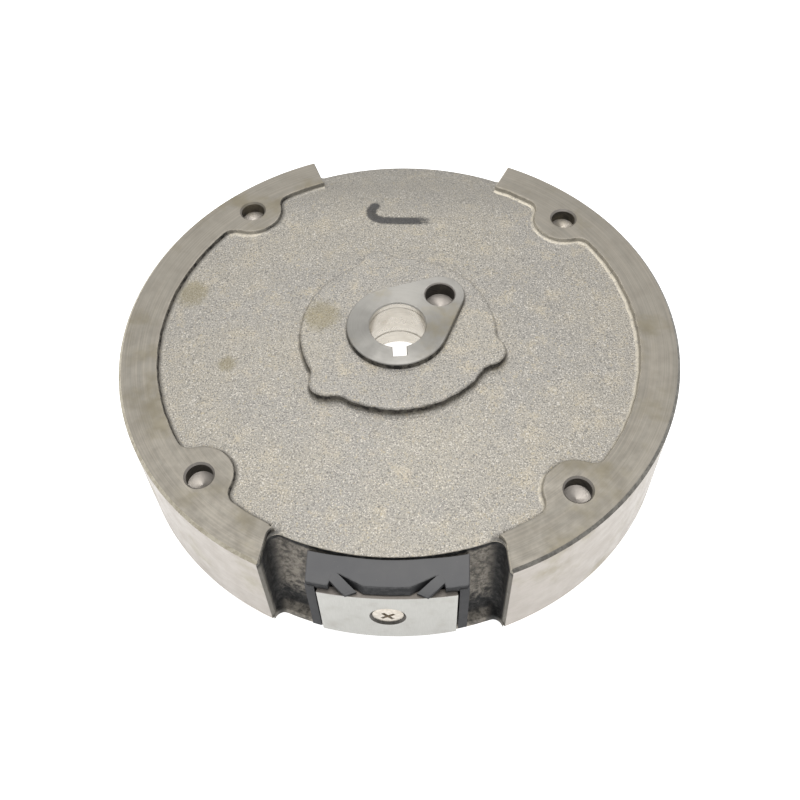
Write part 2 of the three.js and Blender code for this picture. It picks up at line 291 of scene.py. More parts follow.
class Recipe:
    """One procedural material. Textures are laid out in object millimetres."""

    def __init__(self, name, roughness, metallic, specular):
        self.material = bpy.data.materials.new(name)
        self.material.use_nodes = True
        self.tree = self.material.node_tree
        self.shader = self.tree.nodes["Principled BSDF"]
        self.shader.inputs["Roughness"].default_value = roughness
        self.shader.inputs["Metallic"].default_value = metallic
        self.shader.inputs["Specular IOR Level"].default_value = specular
        place = self.node("ShaderNodeTexCoord").outputs["Object"]
        self.place = self.vector("SCALE", place, scale=1 / MM)

    def node(self, kind, inputs=None, **settings):
        made = self.tree.nodes.new(kind)
        for name, value in settings.items():
            setattr(made, name, value)
        for key, value in (inputs or {}).items():
            if isinstance(value, bpy.types.NodeSocket):
                self.tree.links.new(value, made.inputs[key])
            else:
                made.inputs[key].default_value = value
        return made

    def vector(self, operation, a, b=None, scale=None):
        inputs = {0: a}
        if b is not None:
            inputs[1] = b
        if scale is not None:
            inputs["Scale"] = scale
        made = self.node("ShaderNodeVectorMath", inputs, operation=operation)
        return made.outputs["Value" if operation in ("LENGTH", "DOT_PRODUCT") else "Vector"]

    def math(self, operation, a, b=0.0, clamp=False):
        made = self.node("ShaderNodeMath", {0: a, 1: b}, operation=operation, use_clamp=clamp)
        return made.outputs[0]

    def step(self, value, low, high):
        """0 below low, 1 above high, smooth between them. High may be the lower of the two."""
        inputs = {"Value": value, "From Min": low, "From Max": high}
        made = self.node("ShaderNodeMapRange", inputs, interpolation_type="SMOOTHSTEP")
        return made.outputs["Result"]

    def noise(self, size, detail=2.0, rough=0.5, at=None, offset=None):
        """Noise whose features are about `size` millimetres."""
        place = self.place if at is None else at
        if offset is not None:
            place = self.vector("ADD", place, offset)
        inputs = {"Vector": place, "Scale": 1 / size, "Detail": detail, "Roughness": rough}
        return self.node("ShaderNodeTexNoise", inputs).outputs["Fac"]

    def mix(self, amount, a, b):
        """Colour a where the amount is 0, colour b where it is 1."""
        made = self.node("ShaderNodeMix", {0: amount, 6: a, 7: b}, data_type="RGBA")
        return made.outputs[2]

    def parts(self, vector=None):
        made = self.node("ShaderNodeSeparateXYZ", {0: self.place if vector is None else vector})
        return made.outputs

    def join(self, x, y, z):
        return self.node("ShaderNodeCombineXYZ", {0: x, 1: y, 2: z}).outputs[0]

    def flat(self):
        """The place with its height left out."""
        return self.vector("MULTIPLY", self.place, (1, 1, 0))

    def tool_marks(self, pitch, length=2.5):
        """Coordinates for marks that a lathe leaves: long round the wheel, narrow across."""
        flat = self.flat()
        around = self.vector("SCALE", self.vector("NORMALIZE", flat), scale=length)
        across = self.math("ADD", self.vector("LENGTH", flat), self.parts()[2])
        return self.vector("ADD", around, self.join(0.0, 0.0, self.math("DIVIDE", across, pitch)))

    def bump(self, height, distance, strength=1.0, under=None):
        """Relief whose height 1 stands for `distance` millimetres."""
        inputs = {"Height": height, "Distance": distance * MM, "Strength": strength}
        if under is not None:
            inputs["Normal"] = under
        return self.node("ShaderNodeBump", inputs).outputs["Normal"]

    def finish(self, colour, normal=None, roughness=None):
        self.tree.links.new(colour, self.shader.inputs["Base Color"])
        if normal is not None:
            self.tree.links.new(normal, self.shader.inputs["Normal"])
        if roughness is not None:
            self.tree.links.new(roughness, self.shader.inputs["Roughness"])
        return self.material


def spot(recipe, centre, radius):
    """1 inside a ragged round patch, 0 outside it."""
    away = recipe.vector("LENGTH", recipe.vector("SUBTRACT", recipe.flat(), (*centre, 0.0)))
    ragged = recipe.math("MULTIPLY", recipe.noise(radius * 0.45, 4, 0.7), radius * 1.3)
    return recipe.step(recipe.math("ADD", away, ragged), radius * 2.1, radius * 1.2)


def stroke(recipe, path, half_width):
    """1 along a pen stroke through some points."""
    flat = recipe.flat()
    nearest = None
    for start, end in zip(path, path[1:]):
        run = Vector((*end, 0.0)) - Vector((*start, 0.0))
        from_start = recipe.vector("SUBTRACT", flat, (*start, 0.0))
        along = recipe.vector("DOT_PRODUCT", from_start, tuple(run / run.length_squared))
        held = recipe.math("MINIMUM", recipe.math("MAXIMUM", along, 0.0), 1.0)
        foot = recipe.vector("SCALE", tuple(run), scale=held)
        away = recipe.vector("LENGTH", recipe.vector("SUBTRACT", from_start, foot))
        nearest = away if nearest is None else recipe.math("MINIMUM", nearest, away)
    ragged = recipe.math("MULTIPLY", recipe.noise(0.6, 3, 0.6), half_width * 0.8)
    return recipe.step(recipe.math("ADD", nearest, ragged), half_width * 1.9, half_width * 1.2)


def cast_skin():
    """Shot-blasted cast iron: pale grey-beige grain, with a few oil stains and a marker stroke."""
    iron = Recipe("cast_skin", 0.52, 0.4, 0.5)
    broad = iron.noise(28, 3, 0.55)
    colour = iron.mix(iron.step(broad, 0.35, 0.65), srgb(181, 176, 168), srgb(190, 183, 170))
    warm = iron.noise(6, 3, 0.6, offset=(40, 10, 0))
    colour = iron.mix(iron.step(warm, 0.5, 0.72), colour, srgb(203, 193, 174))
    grain = iron.noise(0.42, 3, 0.7)
    colour = iron.mix(iron.step(grain, 0.54, 0.36), colour, srgb(134, 131, 126))
    fleck = iron.noise(0.36, 2, 0.6, offset=(9, 31, 5))
    colour = iron.mix(iron.step(fleck, 0.54, 0.66), colour, srgb(231, 225, 214))
    tint = iron.noise(0.8, 2, 0.6, offset=(14, 5, 60))
    colour = iron.mix(iron.step(tint, 0.58, 0.76), colour, srgb(202, 190, 164))
    pit = iron.noise(0.5, 2, 0.5, offset=(71, 3, 8))
    colour = iron.mix(iron.step(pit, 0.31, 0.22), colour, srgb(112, 106, 98))
    # Painted shade: the web turns greyer towards the back (+Y).
    back_shade = iron.step(iron.parts()[1], 43.0, 60.0)
    colour = iron.mix(iron.math("MULTIPLY", back_shade, 0.45), colour, srgb(146, 142, 135))
    above = iron.step(iron.parts()[2], 27.0, 29.0)
    for centre, radius in (((-59, 14), 4.2), ((-21, 4), 4.8), ((-45, -11), 2.3)):
        stain = iron.math("MULTIPLY", spot(iron, centre, radius), above)
        amount = iron.math("MULTIPLY", stain, 0.5)
        colour = iron.mix(amount, colour, srgb(150, 138, 100))
    # Darker patches at the pocket's two root corners.
    for centre in ((-27.2, -61.2), (27.9, -60.8)):
        dark_patch = iron.math("MULTIPLY", spot(iron, centre, 2.7), above)
        colour = iron.mix(iron.math("MULTIPLY", dark_patch, 0.8), colour, srgb(84, 82, 78))
    pen = [(-9.9, 50.4), (-10.8, 48.6), (-10.6, 46.6), (-9.2, 45.0), (-7, 44.3), (-3.5, 44.2),
           (0.5, 44.3), (4, 44.4), (8.5, 44.5)]
    ink = iron.math("MULTIPLY", stroke(iron, pen, 1.3), above)
    dry = iron.math("ADD", iron.parts()[0], iron.math("MULTIPLY", iron.noise(1.1, 3, 0.7), 8.0))
    ink = iron.math("MULTIPLY", ink, iron.step(dry, 12.5, 7.5))
    tone = iron.mix(iron.noise(3.0, 3, 0.6), srgb(48, 48, 47), srgb(90, 89, 90))
    colour = iron.mix(iron.math("MULTIPLY", ink, 0.9), colour, tone)
    east, north, up = iron.parts(iron.node("ShaderNodeNewGeometry").outputs["True Normal"])[:3]
    inner = iron.step(iron.vector("LENGTH", iron.flat()), 34.0, 30.0)
    outer = iron.math("MULTIPLY", iron.math("SUBTRACT", 1.0, inner), above)
    # Painted highlight: a pale, patchy band on the outer fillets whose faces turn towards -X and -Y.
    facing = iron.math("ADD", east, north)
    fillet = iron.math("MULTIPLY", iron.step(facing, -0.05, -0.3), outer)
    patchy = iron.math("ADD", iron.step(iron.noise(1.5, 4, 0.7), 0.3, 0.6), 0.25)
    painted_highlight = iron.math("MULTIPLY", fillet, patchy, clamp=True)
    colour = iron.mix(painted_highlight, colour, srgb(226, 217, 199))
    # Painted shade: darker on the outer faces that turn towards +X.
    painted_lee_shade = iron.math("MULTIPLY", iron.step(east, 0.08, 0.3), outer)
    colour = iron.mix(iron.math("MULTIPLY", painted_lee_shade, 0.6), colour, srgb(122, 118, 111))
    # Painted shade: steep walls are darkened where they face forward near the top and round the land's
    # inner edge, less so on the pale fillets.
    ragged = iron.math("MULTIPLY", iron.noise(1.6, 4, 0.75, offset=(3, 8, 1)), 0.9)
    steep = iron.math("MULTIPLY", iron.step(iron.math("ADD", up, ragged), 1.15, 0.85), above)
    height = iron.math("ADD", iron.parts()[2], iron.math("MULTIPLY", iron.noise(2.0, 4, 0.75), 1.6))
    upper = iron.step(height, 33.0, 34.0)
    near_top = iron.math("ADD", iron.math("MULTIPLY", upper, 0.75), 0.25)
    forward = iron.math("MULTIPLY", iron.step(north, 0.4, -0.6), near_top)
    behind = iron.math("SUBTRACT", outer, iron.math("MULTIPLY", fillet, 0.6))
    amount = iron.math("MULTIPLY", steep, iron.math("MAXIMUM", forward, behind))
    painted_wall_shade = iron.mix(iron.step(iron.noise(2.2, 4, 0.7), 0.4, 0.6), srgb(52, 50, 48), srgb(118, 114, 106))
    colour = iron.mix(amount, colour, painted_wall_shade)
    normal = iron.bump(iron.noise(0.55, 3, 0.65, offset=(2, 2, 2)), 0.15, 0.9)
    waves = iron.bump(iron.noise(9, 2, 0.5), 0.5, 0.5, under=normal)
    return iron.finish(colour, waves)


def turned_steel(name, tint, dark, roughness, relief, sheen=0.0):
    """Machined iron: long fine tool marks round the axis, with stains and scratches."""
    iron = Recipe(name, roughness, 0.7, 0.5)
    if sheen:
        iron.shader.inputs["Anisotropic"].default_value = sheen
        iron.shader.inputs["Anisotropic Rotation"].default_value = 0.25
        lay = iron.node("ShaderNodeTangent", direction_type="RADIAL", axis="Z").outputs[0]
        iron.tree.links.new(lay, iron.shader.inputs["Tangent"])
    marks = iron.noise(1.0, 3, 0.6, at=iron.tool_marks(0.32))
    bands = iron.noise(1.0, 2, 0.5, at=iron.tool_marks(1.6, 3.5))
    colour = iron.mix(iron.step(marks, 0.15, 0.85), dark, tint)
    colour = iron.mix(iron.math("MULTIPLY", iron.step(bands, 0.45, 0.7), 0.35), colour, dark)
    blotch = iron.noise(14, 4, 0.6)
    colour = iron.mix(iron.step(blotch, 0.5, 0.72), colour, srgb(155, 147, 129))
    normal = iron.bump(marks, relief)
    wear = iron.noise(5, 4, 0.65, offset=(5, 50, 0))
    spread = iron.math("MULTIPLY", iron.step(wear, 0.3, 0.7), 0.16)
    return iron.finish(colour, normal, iron.math("ADD", spread, roughness - 0.08))


def painted_edge_reflection():
    """The rim's bevelled top edge: a painted reflection, pale round the -X side and dark round the +X
    side.
    """
    iron = Recipe("painted_edge_reflection", 0.55, 0.4, 0.5)
    nicks = iron.noise(1.8, 4, 0.7)
    painted_highlight = iron.mix(iron.step(nicks, 0.35, 0.65), srgb(186, 177, 157), srgb(214, 206, 188))
    shaded_reflection = iron.mix(iron.step(nicks, 0.35, 0.65), srgb(112, 109, 103), srgb(146, 142, 134))
    colour = iron.mix(iron.step(iron.parts()[0], -5.0, 20.0), painted_highlight, shaded_reflection)
    return iron.finish(colour, iron.bump(nicks, 0.03))


def pocket_skin():
    """Unblasted, oily cast iron in the magnet pocket: rough, with dark scale, browner on its back wall.
    Painted shade makes it near black on the side walls (together with the scale) and darker towards the
    bottom and just under the web's edge. It is lighter towards the outer mouth.
    """
    iron = Recipe("pocket_skin", 0.75, 0.15, 0.4)
    x, y, z = iron.parts()[:3]
    mottle = iron.noise(1.6, 4, 0.7)
    brown = iron.mix(iron.step(mottle, 0.35, 0.65), srgb(104, 100, 94), srgb(176, 168, 156))
    scale_and_shade = iron.mix(iron.step(mottle, 0.4, 0.7), srgb(38, 38, 38), srgb(78, 77, 75))
    aside = iron.math("ABSOLUTE", x)
    # Near black on the side walls: partly dark scale, partly painted shade.
    side = iron.step(iron.math("ADD", aside, iron.math("MULTIPLY", mottle, 2.0)), 25.5, 28.5)
    # Painted shade: darker towards the bottom, except on the low lip.
    low = iron.step(iron.math("ADD", z, iron.math("MULTIPLY", mottle, 9.0)), 19.0, 11.0)
    lip = iron.step(z, 3.2, 2.0)
    dark = iron.math("MAXIMUM", side, iron.math("MULTIPLY", low, iron.math("SUBTRACT", 1.0, lip)))
    # Painted shadow just under the web's edge.
    brim_shadow = iron.step(iron.math("ADD", z, iron.math("MULTIPLY", mottle, 1.6)), 29.4, 30.4)
    dark = iron.math("MAXIMUM", dark, brim_shadow)
    colour = iron.mix(dark, brown, scale_and_shade)
    out = iron.math("ADD", iron.vector("LENGTH", iron.flat()), mottle)
    mouth = iron.math("MULTIPLY", iron.step(out, 72.9, 74.6), iron.step(z, 31.0, 28.0))
    colour = iron.mix(iron.math("MULTIPLY", mouth, 0.85), colour, srgb(146, 141, 132))
    grain = iron.step(iron.noise(0.8, 4, 0.75, offset=(6, 2, 9)), 0.36, 0.64)
    bare = iron.mix(grain, srgb(128, 124, 115), srgb(170, 164, 152))
    bare = iron.mix(iron.step(iron.noise(7, 4, 0.65), 0.5, 0.75), bare, srgb(122, 112, 95))
    colour = iron.mix(iron.step(y, 0.0, 10.0), colour, bare)
    normal = iron.bump(iron.noise(1.1, 4, 0.7), 0.45, 0.9)
    return iron.finish(colour, normal)


def moulded_plastic():
    """Dark grey moulded plastic with a fine eggshell surface and a little dust, with painted shade on
    its upright and downward faces.
    """
    plastic = Recipe("moulded_plastic", 0.6, 0.0, 0.22)
    broad = plastic.noise(7, 3, 0.5)
    colour = plastic.mix(broad, srgb(107, 107, 109), srgb(122, 121, 120))
    dust = plastic.noise(0.7, 3, 0.7)
    colour = plastic.mix(plastic.step(dust, 0.66, 0.78), colour, srgb(140, 137, 130))
    # Painted shade: faces that do not look up are darkened, with a ragged edge.
    upright = plastic.parts(plastic.node("ShaderNodeNewGeometry").outputs["True Normal"])[2]
    shade_noise = plastic.math("MULTIPLY", plastic.noise(1.2, 4, 0.7), 0.5)
    shaded = plastic.step(plastic.math("ADD", upright, shade_noise), 1.15, 0.6)
    colour = plastic.mix(plastic.math("MULTIPLY", shaded, 0.9), colour, srgb(36, 36, 38))
    normal = plastic.bump(plastic.noise(0.5, 3, 0.6), 0.03, 0.8)
    rough = plastic.math("ADD", plastic.math("MULTIPLY", plastic.noise(3, 3, 0.6), 0.2), 0.5)
    return plastic.finish(colour, normal, rough)


def satin_plate():
    """Ground steel with fine upright scratches and slight handling marks."""
    steel = Recipe("satin_plate", 0.34, 0.9, 0.5)
    lay = steel.vector("MULTIPLY", steel.place, (9.0, 9.0, 0.35))
    scratches = steel.noise(1.0, 3, 0.6, at=lay)
    colour = steel.mix(steel.step(scratches, 0.3, 0.7), srgb(168, 167, 162), srgb(176, 175, 170))
    dark_patch = steel.noise(5, 3, 0.6)
    colour = steel.mix(steel.step(dark_patch, 0.5, 0.8), colour, srgb(164, 161, 155))
    upright = steel.parts(steel.node("ShaderNodeNewGeometry").outputs["True Normal"])[2]
    sheared = steel.step(upright, 0.5, 0.9)
    colour = steel.mix(sheared, colour, srgb(150, 143, 136))
    normal = steel.bump(scratches, 0.012)
    rough = steel.math("ADD", steel.math("MULTIPLY", dark_patch, 0.25), 0.25)
    rough = steel.math("ADD", rough, steel.math("MULTIPLY", sheared, 0.3))
    return steel.finish(colour, normal, rough)


def plated_screw():
    """Plated screw steel, slightly warm, with soft press marks."""
    steel = Recipe("plated_screw", 0.3, 0.9, 0.5)
    speck = steel.noise(0.9, 3, 0.6)
    colour = steel.mix(steel.step(speck, 0.35, 0.7), srgb(186, 178, 166), srgb(206, 198, 187))
    normal = steel.bump(steel.noise(0.6, 2, 0.5), 0.02)
    return steel.finish(colour, normal)


def sintered_ferrite():
    """The magnet: dull charcoal ceramic with a fine granular break."""
    ferrite = Recipe("sintered_ferrite", 0.7, 0.0, 0.35)
    grain = ferrite.noise(0.4, 3, 0.7)
    colour = ferrite.mix(grain, srgb(34, 34, 36), srgb(62, 62, 64))
    return ferrite.finish(colour, ferrite.bump(grain, 0.05))


cast = cast_skin()
machined = turned_steel("machined_land", srgb(179, 171, 158), srgb(155, 150, 140), 0.6, 0.006)
faced = turned_steel("faced_boss", srgb(161, 158, 152), srgb(154, 151, 145), 0.42, 0.003, 0.75)
rim_steel = turned_steel("turned_rim", srgb(182, 175, 167), srgb(169, 162, 154), 0.42, 0.005)
bored = turned_steel("bored_taper", srgb(220, 216, 208), srgb(196, 191, 182), 0.3, 0.008)
# Painted shade: a darker steel for the walls of drilled holes and for the countersink round the pole
# screw.
shaded_hole_steel = turned_steel("shaded_hole_wall", srgb(112, 108, 102), srgb(78, 75, 71), 0.5, 0.02)
# The chamfer's painted reflection.
edge_reflection = painted_edge_reflection()
pocket_iron = pocket_skin()
plastic = moulded_plastic()
plate_steel = satin_plate()
screw_steel = plated_screw()
ferrite = sintered_ferrite()
casting_materials = [cast, machined, faced, rim_steel, bored, edge_reflection]
CAST, MACHINED, FACED, RIM, BORED, EDGE = range(len(casting_materials))


# Casting ----------------------------------------------------------------------------------------
def wheel_angles():
    """Angles round the wheel, closer together at the ears and at the ends of the land."""
    angles = list(np.arange(640) * 2 * math.pi / 640)
    for place in hole_places:
        angles += list(place + np.radians(np.arange(-11.25, 11.25, 0.5)))
    for centre, half in notch_spans():
        for side in (-1, 1):
            angles += [centre + side * half - 0.0004, centre + side * half + 0.0004]
    wrapped = np.sort(np.asarray(angles) % (2 * math.pi))
    apart = np.diff(wrapped, append=wrapped[0] + 2 * math.pi)
    return wrapped[apart > 0.0002]


def notch_spans():
    """The middle angle and half angle of each notch where it meets the land's inner edge."""
    start, end = pocket_wall
    run = (end - start).normalized()
    corner = start + run * reach(start, run, land_inner_radius - 0.2)
    front_half = math.atan2(corner.x, -corner.y)
    return [(pocket_angle, front_half), (rear_angle, rear_half_angle)]


def thread_boss(angles, height):
    """How far the thickened wall behind the pocket stands in from the rim's inner wall."""
    sideways = rim_inner_radius * angle_from(angles, [front_angle])
    width = np.clip((thick_wall["half_width"] - sideways) / thick_wall["flank"], 0, 1)
    low = np.clip((height - thick_wall["foot"]) / thick_wall["rise"], 0, 1)
    smooth = [t * t * (3 - 2 * t) for t in (width, low)]
    return thick_wall["depth"] * smooth[0] * smooth[1]


def quarter(radius_from, height_from, radius_to, height_to, hollow, count=5):
    """Steps round a quarter of an ellipse between two (radius, height) points."""
    turns = np.linspace(0, math.pi / 2, count)
    if hollow:
        across, up = 1 - np.cos(turns), np.sin(turns)
    else:
        across, up = np.sin(turns), 1 - np.cos(turns)
    return [(radius_from + (radius_to - radius_from) * a, height_from + (height_to - height_from) * u)
            for a, u in zip(across, up)]


def casting_rings(angles):
    """Every ring of the wheel, from the bore's mouth over the top, down the rim and back up the
    bore, as (radii, heights, material of the band that follows)."""
    even = np.ones_like(angles)
    rings = []

    def ring(radius, height, material):
        rings.append((radius * even, height * even, material))

    def between(first, last, count, material, height):
        for share in np.linspace(0, 1, count + 1)[:-1]:
            radius = first + (last - first) * share
            rings.append((radius * even, height(radius) * even, material))

    flattened = np.zeros_like(angles, bool)
    for centre, half in notch_spans():
        flattened |= angle_from(angles, [centre]) < half
    pad_wobble = wobble(angles, 9.0, 0.28, 3.0)
    land_wobble = wobble(angles, 22.0, 0.16, 7.0)

    def boss(grow):
        return boss_outline(angles, grow)

    def pad(grow):
        return lobed_radius(angles, pad_lobes, grow) + pad_wobble

    def land(grow):
        return lobed_radius(angles, ears, grow) + land_wobble

    ring(bore_top_radius, boss_top - bore_chamfer["depth"], BORED)
    between(bore_top_radius + bore_chamfer["width"], boss(-0.2), 3, FACED, lambda r: boss_top)
    rings.append((boss(-0.2), boss_top * even, FACED))
    rings.append((boss(0.0), (boss_top - 0.18) * even, CAST))
    for grow, height in quarter(0.15, pad_top + 0.45, 0.65, pad_top, True, 4):
        rings.append((boss(grow), height * even, CAST))
    between(boss(0.8), pad(-0.85), 5, CAST, lambda r: pad_top)
    for grow, height in quarter(-0.8, pad_top, 0.0, pad_top - pad_edge["rounding"], False):
        rings.append((pad(grow), height * even, CAST))
    for grow, height in quarter(0.15, pad_edge["fillet"], 0.75, 0.0, True):
        radius = pad(grow)
        rings.append((radius, web_height(radius) + height, CAST))
    between(pad(0.9), land(1.9), 20, CAST, web_height)
    for grow, height in quarter(1.7, 0.0, 0.35, 0.6, False, 6):
        radius = land(grow)
        base = web_height(radius)
        rings.append((radius, np.where(flattened, base, base + height), CAST))
    for grow, drop, material in ((0.12, 0.22, CAST), (0.0, 0.06, MACHINED), (-0.2, 0.0, MACHINED)):
        radius = land(grow)
        level = np.where(flattened, web_height(radius), rim_height - drop)
        rings.append((radius, level, material))
    between(land(-0.3), rim_radius - rim_chamfer, 4, MACHINED, lambda r: rim_height)
    ring(rim_radius - rim_chamfer, rim_height, EDGE)
    for height in np.linspace(rim_height - rim_chamfer, 0.6, 5):
        ring(rim_radius, height, RIM)
    ring(rim_radius - 0.6, 0.0, MACHINED)
    ring(68.0, 0.0, MACHINED)
    ring(rim_inner_radius + 0.5, 0.0, CAST)
    fillet_top = web_bottom - 4.0
    slope = rim_draft / fillet_top
    for height in (0.5, 4.0, 6.2, 6.7, 7.3, 7.9, 8.4, 12.0, 16.0, fillet_top):
        radius = rim_inner_radius - slope * height - thread_boss(angles, height)
        rings.append((radius, height * even, CAST))
    foot = rim_inner_radius - rim_draft
    for radius, height in quarter(foot, fillet_top, foot - 4.0, web_bottom, True, 6)[1:]:
        inner = radius - thread_boss(angles, height) * (web_bottom + 0.4 - height) / 4.4
        rings.append((inner, height * even, CAST))
    between(foot - 6.0, hub_radius + 3.2, 6, CAST, lambda r: web_bottom)
    for radius, height in quarter(hub_radius + 2.8, web_bottom, hub_radius, web_bottom - 2.6, False, 6):
        ring(radius, height, CAST)
    ring(hub_radius - 0.6, hub_bottom + 0.5, MACHINED)
    ring(hub_radius - 1.1, hub_bottom, MACHINED)
    ring(relief_radius + 0.5, hub_bottom, MACHINED)
    ring(relief_radius, hub_bottom + 0.5, BORED)
    ring(relief_radius, bore_step - 0.5, BORED)
    ring(bore_bottom_radius, bore_step, BORED)
    bore_end = boss_top - bore_chamfer["depth"]
    taper = (bore_bottom_radius - bore_top_radius) / (bore_end - bore_step)
    for height, groove in ((23.2, 0), (23.3, 0.1), (23.7, 0.1), (23.9, 0), (26.0, 0), (30.0, 0),
                           (34.2, 0), (34.3, 0.07), (34.5, 0.07), (34.7, 0)):
        radius = bore_bottom_radius - taper * (height - bore_step) + groove
        ring(radius, height, BORED)
    return rings


def wheel_body():
    """The turned and cast body as one closed grid of rings."""
    angles = wheel_angles()
    rings = casting_rings(angles)
    columns, rows = len(angles), len(rings)
    cos, sin = np.cos(angles), np.sin(angles)
    points = np.concatenate([np.column_stack([r * cos, r * sin, z]) for r, z, _ in rings])
    faces, indices = [], []
    for i, (_, _, material) in enumerate(rings):
        low, high = i * columns, ((i + 1) % rows) * columns
        for j in range(columns):
            after = (j + 1) % columns
            faces.append((low + j, high + j, high + after, low + after))
            indices.append(material)
    return mesh_object("flywheel_wheel", points, faces, casting_materials, indices)


def notch_outline(wall, back_radius, widen, corner, ease):
    """One level of a notch cutter that opens towards -Y: a side wall, a rounded root corner, the
    back wall's arc, and the same mirrored. `widen` moves the side walls apart, and `ease` is the
    bevel of their outer edges."""
    start, end = wall
    run = (end - start).normalized()
    inward = Vector((run.y, -run.x))
    if inward.x > 0:
        inward = -inward
    start, end = start - inward * widen, end - inward * widen
    base = start + inward * corner
    centre = base + run * reach(base, run, back_radius + corner)
    touch = math.atan2(-inward.y, -inward.x)
    towards_axis = math.atan2(-centre.y, -centre.x)
    root = arc(centre, corner, touch, towards_axis, 9)
    mouth = start + run * reach(start, run, rim_radius - 0.8 * ease)
    bevel = mouth + run * 1.3 * ease - inward * ease
    sides = np.array([end - inward * ease, bevel, mouth])
    half = math.atan2(root[-1][0], -root[-1][1])
    back = np.array([(back_radius * math.sin(t), -back_radius * math.cos(t))
                     for t in np.linspace(half, -half, 90)[1:-1]])
    right = np.concatenate([sides, root])
    left = right[::-1] * (-1, 1)
    return np.concatenate([right, back, left])


def notch_cutter(wall, levels, corner, ease, rough, middle):
    """A notch as the solid that is removed, with blasted skin where it bares the web's top.
    `levels` are (height, back radius, widen), and `rough` is how uneven the walls are."""
    loops = []
    for height, back_radius, widen in levels:
        outline = notch_outline(wall, back_radius, widen, corner, ease)
        loop = at_height(outline, height)
        for point in loop[5:-5]:
            place = Vector(point) / 1.7
            push = 1 + rough * noise.fractal(place, 1.0, 2.0, 3) / point[:2].dot(point[:2]) ** 0.5
            if 2.0 < height < 30.0:
                point[:2] *= push
        loops.append(loop)
    indices = []
    for height, _, _ in levels[:-1]:
        indices += [0 if height < web_edge - 0.25 else 1] * len(loops[0])
    cutter = skin("cut_notch", loops, [pocket_iron, cast], indices + [0, 1])
    cutter.data.transform(Matrix.Rotation(middle + math.pi / 2, 4, "Z"))
    return cutter


def pocket_cutter():
    """The magnet pocket: a drafted back wall with a low lip at its foot."""
    top = pocket_top
    levels = [(-3.0, 71.9, 0.5), (-0.2, 71.9, 0.5), (0.4, 71.9, 0.0), (1.5, 71.8, 0.0),
              (1.9, 71.5, 0.0), (2.1, 70.6, 0.0), (2.4, 69.6, 0.0), (3.0, pocket_foot, 0.0)]
    levels += [(height, wall_radius(height), 0.0) for height in np.arange(4.2, 30.0, 1.2)]
    levels += [(29.9, top, 0.0), (30.3, top - 0.05, 0.0), (web_edge - 0.04, top - 0.15, 0.0),
               (web_edge, 64.2, 0.0), (31.7, 64.2, 0.0), (32.2, 64.2, 0.45), (38.0, 64.2, 0.5)]
    return notch_cutter(pocket_wall, levels, 2.6, 1.2, 0.45, pocket_angle)


def rear_cutter():
    """The shallower notch opposite the magnet."""
    levels = [(-3.0, 68.5, 0.4), (-0.2, 68.5, 0.4), (0.4, 68.5, 0.0)]
    levels += [(height, 68.5, 0.0) for height in np.arange(2.5, 30.0, 2.5)]
    levels += [(30.1, 68.5, 0.0), (30.3, 68.4, 0.0), (web_edge - 0.02, 68.0, 0.0),
               (web_edge, 64.2, 0.0), (31.7, 64.2, 0.0), (32.2, 64.2, 0.45), (38.0, 64.2, 0.5)]
    return notch_cutter(rear_wall, levels, 1.6, 0.45, 0.25, rear_angle)


def keyway_cutter():
    """The keyway: a slot with eased edges at the boss face."""
    def outline(widen):
        half, end = keyway_half_width + widen, keyway_reach + widen
        return [(0.0, -half), (end, -half), (end, half), (0.0, half)]
    levels = [(hub_bottom - 3, 0.3), (hub_bottom - 0.1, 0.3), (hub_bottom + 0.3, 0.0),
              (boss_top - 0.2, 0.0), (boss_top + 0.1, 0.25), (boss_top + 3, 0.25)]
    cutter = skin("cut_keyway", [at_height(outline(w), z) for z, w in levels], [bored])
    cutter.data.transform(Matrix.Rotation(keyway_angle, 4, "Z"))
    return cutter


def casting():
    wheel = wheel_body()
    for place in hole_places:
        centre = (hole_pitch * math.cos(place), hole_pitch * math.sin(place))
        combine(wheel, drill(centre, rim_height, **rim_hole), "DIFFERENCE")
    combine(wheel, drill(tuple(pin_place), boss_top, **pin_hole), "DIFFERENCE")
    combine(wheel, keyway_cutter(), "DIFFERENCE")
    combine(wheel, pocket_cutter(), "DIFFERENCE")
    combine(wheel, rear_cutter(), "DIFFERENCE")
    hole = turned("cut_thread", [(screw_hole_radius, 58.0), (screw_hole_radius, 76.0)], pocket_iron, 32)
    outward(hole)
    combine(wheel, hole, "DIFFERENCE")
    shade(wheel)
    show(wheel, "cast_iron", "flywheel_casting")


# Magnet assembly --------------------------------------------------------------------------------
def rounded_section(low, high, ease, count=3):
    """A rectangle between two corners with eased corners, as points in its own plane."""
    corners = [(high[0], low[1], -90), (high[0], high[1], 0), (low[0], high[1], 90),
               (low[0], low[1], 180)]
    points = []
    for x, y, start in corners:
        cx = x - ease if x == high[0] else x + ease
        cy = y - ease if y == high[1] else y + ease
        for turn in np.radians(start + np.linspace(0, 90, count)):
            points.append((cx + ease * math.cos(turn), cy + ease * math.sin(turn)))
    return np.array(points)


